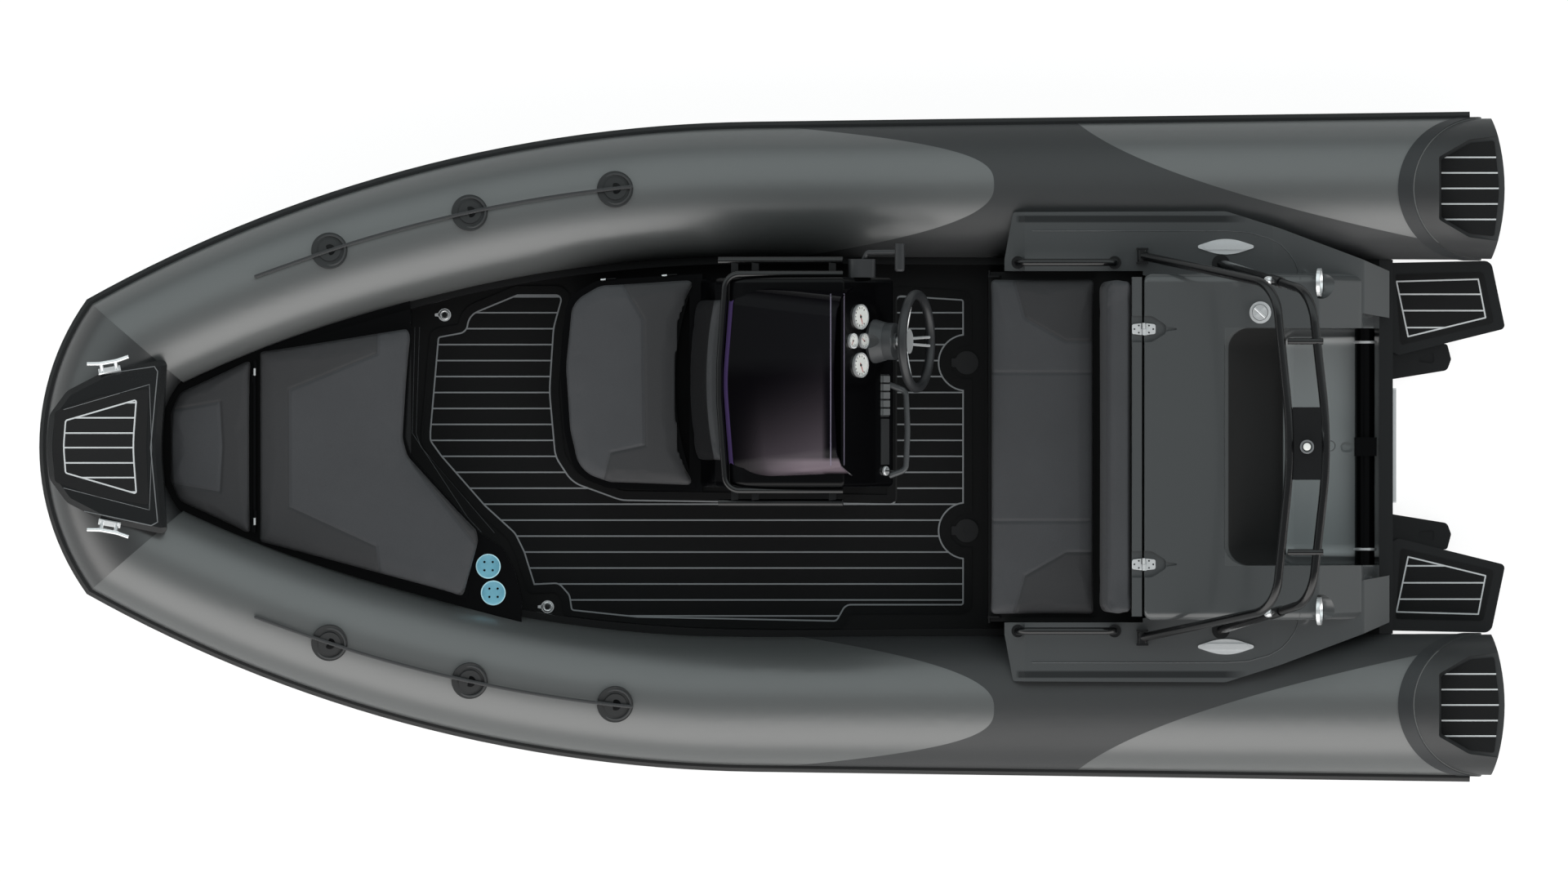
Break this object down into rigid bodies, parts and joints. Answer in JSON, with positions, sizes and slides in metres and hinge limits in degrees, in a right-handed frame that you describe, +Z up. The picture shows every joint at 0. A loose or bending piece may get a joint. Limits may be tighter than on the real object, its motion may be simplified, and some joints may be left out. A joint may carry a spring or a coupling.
{
  "type": "rigid inflatable boat",
  "caption": "Rigid inflatable boat with inflated side tubes, a starboard steering console, sunpad lockers in the bow, an aft bench and a folding arch.",
  "frame": {"origin": "midships on the centreline at the waterline", "axes": "+X towards the bow, +Y to port, +Z up"},
  "size_m": [5.008, 2.292, 1.464],
  "materials": {
    "hypalon_dark": "coated tube fabric, fine weave, satin",
    "hypalon_light": "lighter reinforcing fabric, satin",
    "rubber_black": "black rubber, satin",
    "gelcoat_grey": "moulded dark grey gelcoat, gloss",
    "gelcoat_black": "moulded black gelcoat, gloss",
    "decking_foam": "foam deck covering, matt",
    "decking_line": "pale core of the deck covering, matt",
    "upholstery": "grained marine upholstery, satin",
    "screen_tint": "dark tinted acrylic, gloss",
    "steel_bright": "polished stainless steel",
    "anodised_teal": "anodised teal, gloss",
    "powder_black": "black powder coat, satin",
    "dial_white": "printed dial",
    "plastic_black": "black moulded plastic, satin",
    "rope_grey": "braided polyester rope",
    "lamp_white": "diffuser, satin"
  },
  "bodies": {
    "hull": {"tube_port": "hypalon_dark", "tube_starboard": "hypalon_dark", "tube_bow": "hypalon_dark", "tube_end_bands": "hypalon_light", "tube_end_caps": "hypalon_light", "end_cap_pads": "decking_foam", "rubbing_strake": "rubber_black", "hull_shell": "gelcoat_grey", "deck_liner": "gelcoat_grey", "floor_decking": "decking_foam", "floor_inlay_lines": "decking_line", "floor_sockets": "gelcoat_grey", "bow_locker": "gelcoat_grey", "cup_holders": "anodised_teal", "bow_moulding": "gelcoat_black", "bow_step_pad": "decking_foam", "bow_cleats": "steel_bright", "console_body": "gelcoat_black", "console_seat_base": "gelcoat_grey", "console_backrest": "upholstery", "windshield": "screen_tint", "windshield_rail": "powder_black", "console_side_rails": "powder_black", "gauge_bezels": "steel_bright", "gauge_faces": "dial_white", "switch_panel": "plastic_black", "throttle_control": "plastic_black", "console_grab_handle": "powder_black", "steering_column": "plastic_black", "bench_base": "gelcoat_grey", "stern_moulding": "gelcoat_black", "fuel_filler": "steel_bright", "stern_round_fittings": "steel_bright", "side_handrails": "powder_black", "popup_cleats": "steel_bright", "well_tube": "gelcoat_black", "engine_plate": "steel_bright", "arch_stubs": "powder_black", "swim_platforms": "gelcoat_grey", "swim_platform_pads": "decking_foam", "lifeline_patches": "rubber_black", "lifeline_rope_port": "rope_grey", "lifeline_rope_starboard": "rope_grey", "deck_pad_eyes": "steel_bright", "hinge_posts": "steel_bright", "pad_inlay_lines": "decking_line"},
    "steering_wheel": {"steering_wheel_rim": "rubber_black", "steering_wheel_hub": "steel_bright"},
    "main_bow_lid": {"bow_lid_main": "gelcoat_grey", "bow_cushion_main": "upholstery"},
    "small_bow_lid": {"bow_lid_small": "gelcoat_grey", "bow_cushion_small": "upholstery"},
    "seat_lid": {"console_seat_lid": "gelcoat_grey", "console_seat_cushion": "upholstery"},
    "bench_seat": {"bench_lid": "gelcoat_grey", "bench_cushion": "upholstery"},
    "backrest_panel": {"backrest_shell": "gelcoat_black", "backrest_cushion": "upholstery"},
    "arch": {"arch_frame": "powder_black", "arch_light": "lamp_white"}
  },
  "joints": [
    {"name": "steering_turn", "type": "hinge", "parent": "hull", "child": "steering_wheel", "pos_m": [-0.487, -0.358, 0.82], "axis": [-0.9511, 0, 0.309], "range_deg": [-540, 540]},
    {"name": "bow_lid_main_open", "type": "hinge", "parent": "hull", "child": "main_bow_lid", "pos_m": [1.768, 0, 0.503], "axis": [0, 1, 0], "range_deg": [0, 85]},
    {"name": "bow_lid_small_open", "type": "hinge", "parent": "hull", "child": "small_bow_lid", "pos_m": [1.768, 0, 0.503], "axis": [0, -1, 0], "range_deg": [0, 85]},
    {"name": "console_seat_open", "type": "hinge", "parent": "hull", "child": "seat_lid", "pos_m": [0.562, -0.571, 0.49], "axis": [0.9978, 0.0668, 0], "range_deg": [0, 88]},
    {"name": "bench_lid_open", "type": "hinge", "parent": "hull", "child": "bench_seat", "pos_m": [-0.738, 0, 0.47], "axis": [0, 1, 0], "range_deg": [0, 85]},
    {"name": "backrest_open", "type": "hinge", "parent": "hull", "child": "backrest_panel", "pos_m": [-1.261, 0, 0.735], "axis": [0, -1, 0], "range_deg": [0, 90]},
    {"name": "arch_fold", "type": "hinge", "parent": "hull", "child": "arch", "pos_m": [-1.259, 0, 0.545], "axis": [0, 1, 0], "range_deg": [0, 85]}
  ]
}
